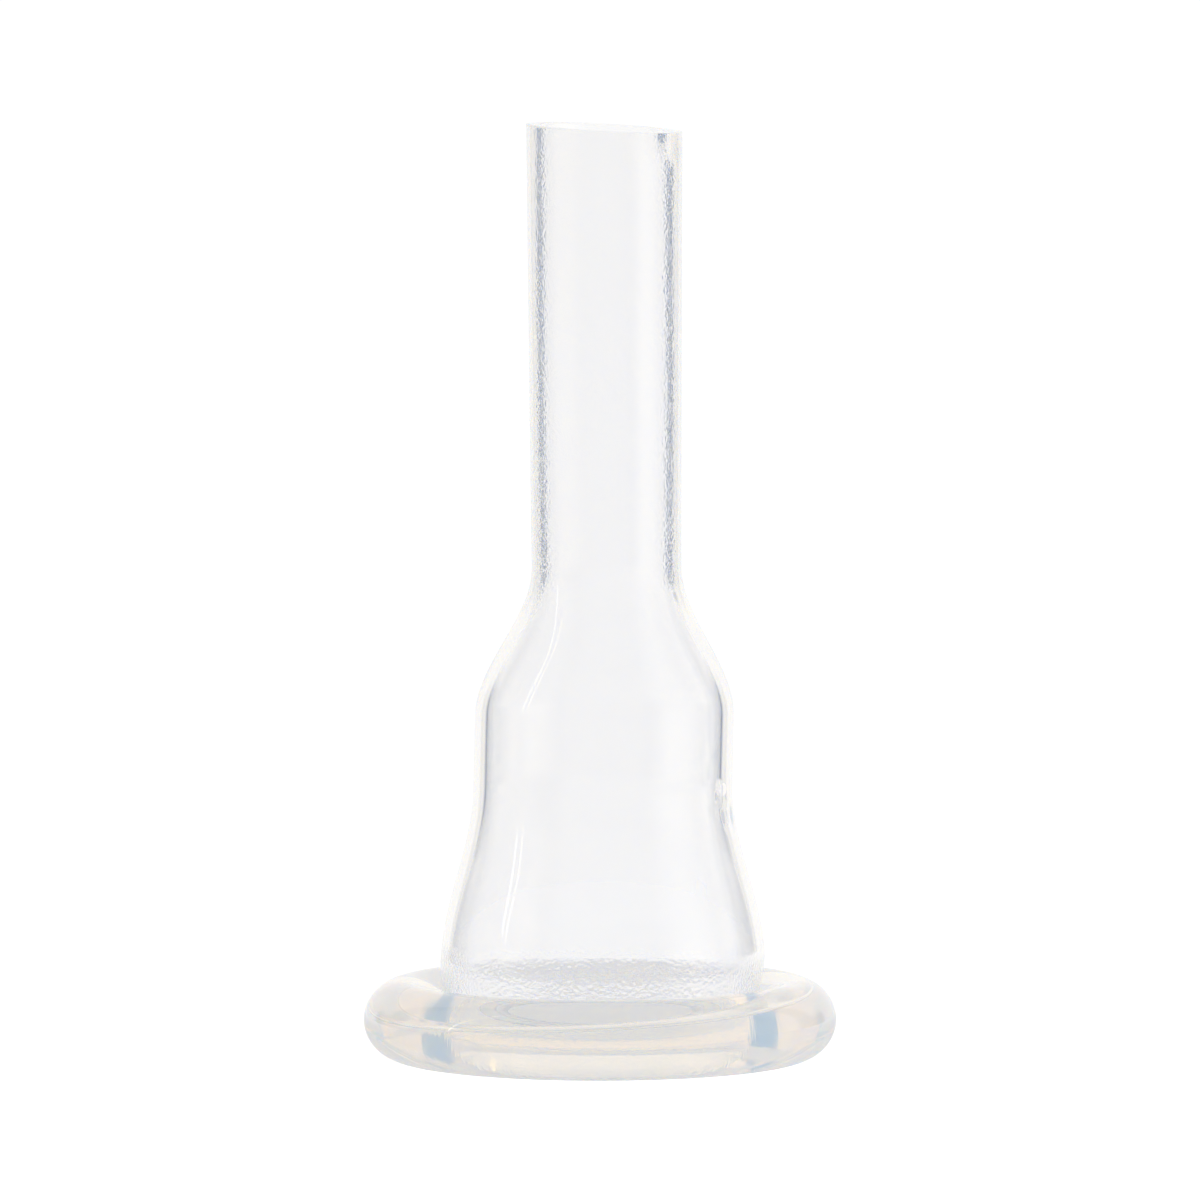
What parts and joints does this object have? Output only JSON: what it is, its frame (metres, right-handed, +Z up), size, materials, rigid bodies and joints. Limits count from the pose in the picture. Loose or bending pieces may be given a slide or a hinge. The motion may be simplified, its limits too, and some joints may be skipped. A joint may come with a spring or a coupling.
{
  "type": "external urinary sheath",
  "caption": "Clear silicone male external catheter: straight outlet tube, kink-resistant bulb and flared skirt, with the thin adhesive sheath rolled into a ring at its foot.",
  "frame": {"origin": "middle of the ring's underside, which is the bottom centre of the part", "axes": "+Z up the outlet tube's axis, and the slanted mouth is highest at -X"},
  "size_m": [0.0386, 0.0386, 0.0765],
  "materials": {
    "silicone_wall": "clear, glossy outside and lightly frosted in the bore",
    "silicone_film": "clear, glossy, faintly milky where wound in layers",
    "skin_adhesive": "clear, tacky, faint straw tint"
  },
  "bodies": {
    "rolled_sheath": {"outer_turn": "silicone_film", "inner_turns": "silicone_film", "adhesive_layer": "skin_adhesive"},
    "catheter_body": {"outlet_tube": "silicone_wall", "funnel": "silicone_wall", "bulb": "silicone_wall", "flared_skirt": "silicone_wall", "sheath_wall": "silicone_film"}
  },
  "joints": [
    {"name": "unroll", "type": "slide", "parent": "rolled_sheath", "child": "catheter_body", "axis": [0, 0, 1], "range_m": [0, 0.07], "deforming": ["sheath_wall"]}
  ]
}
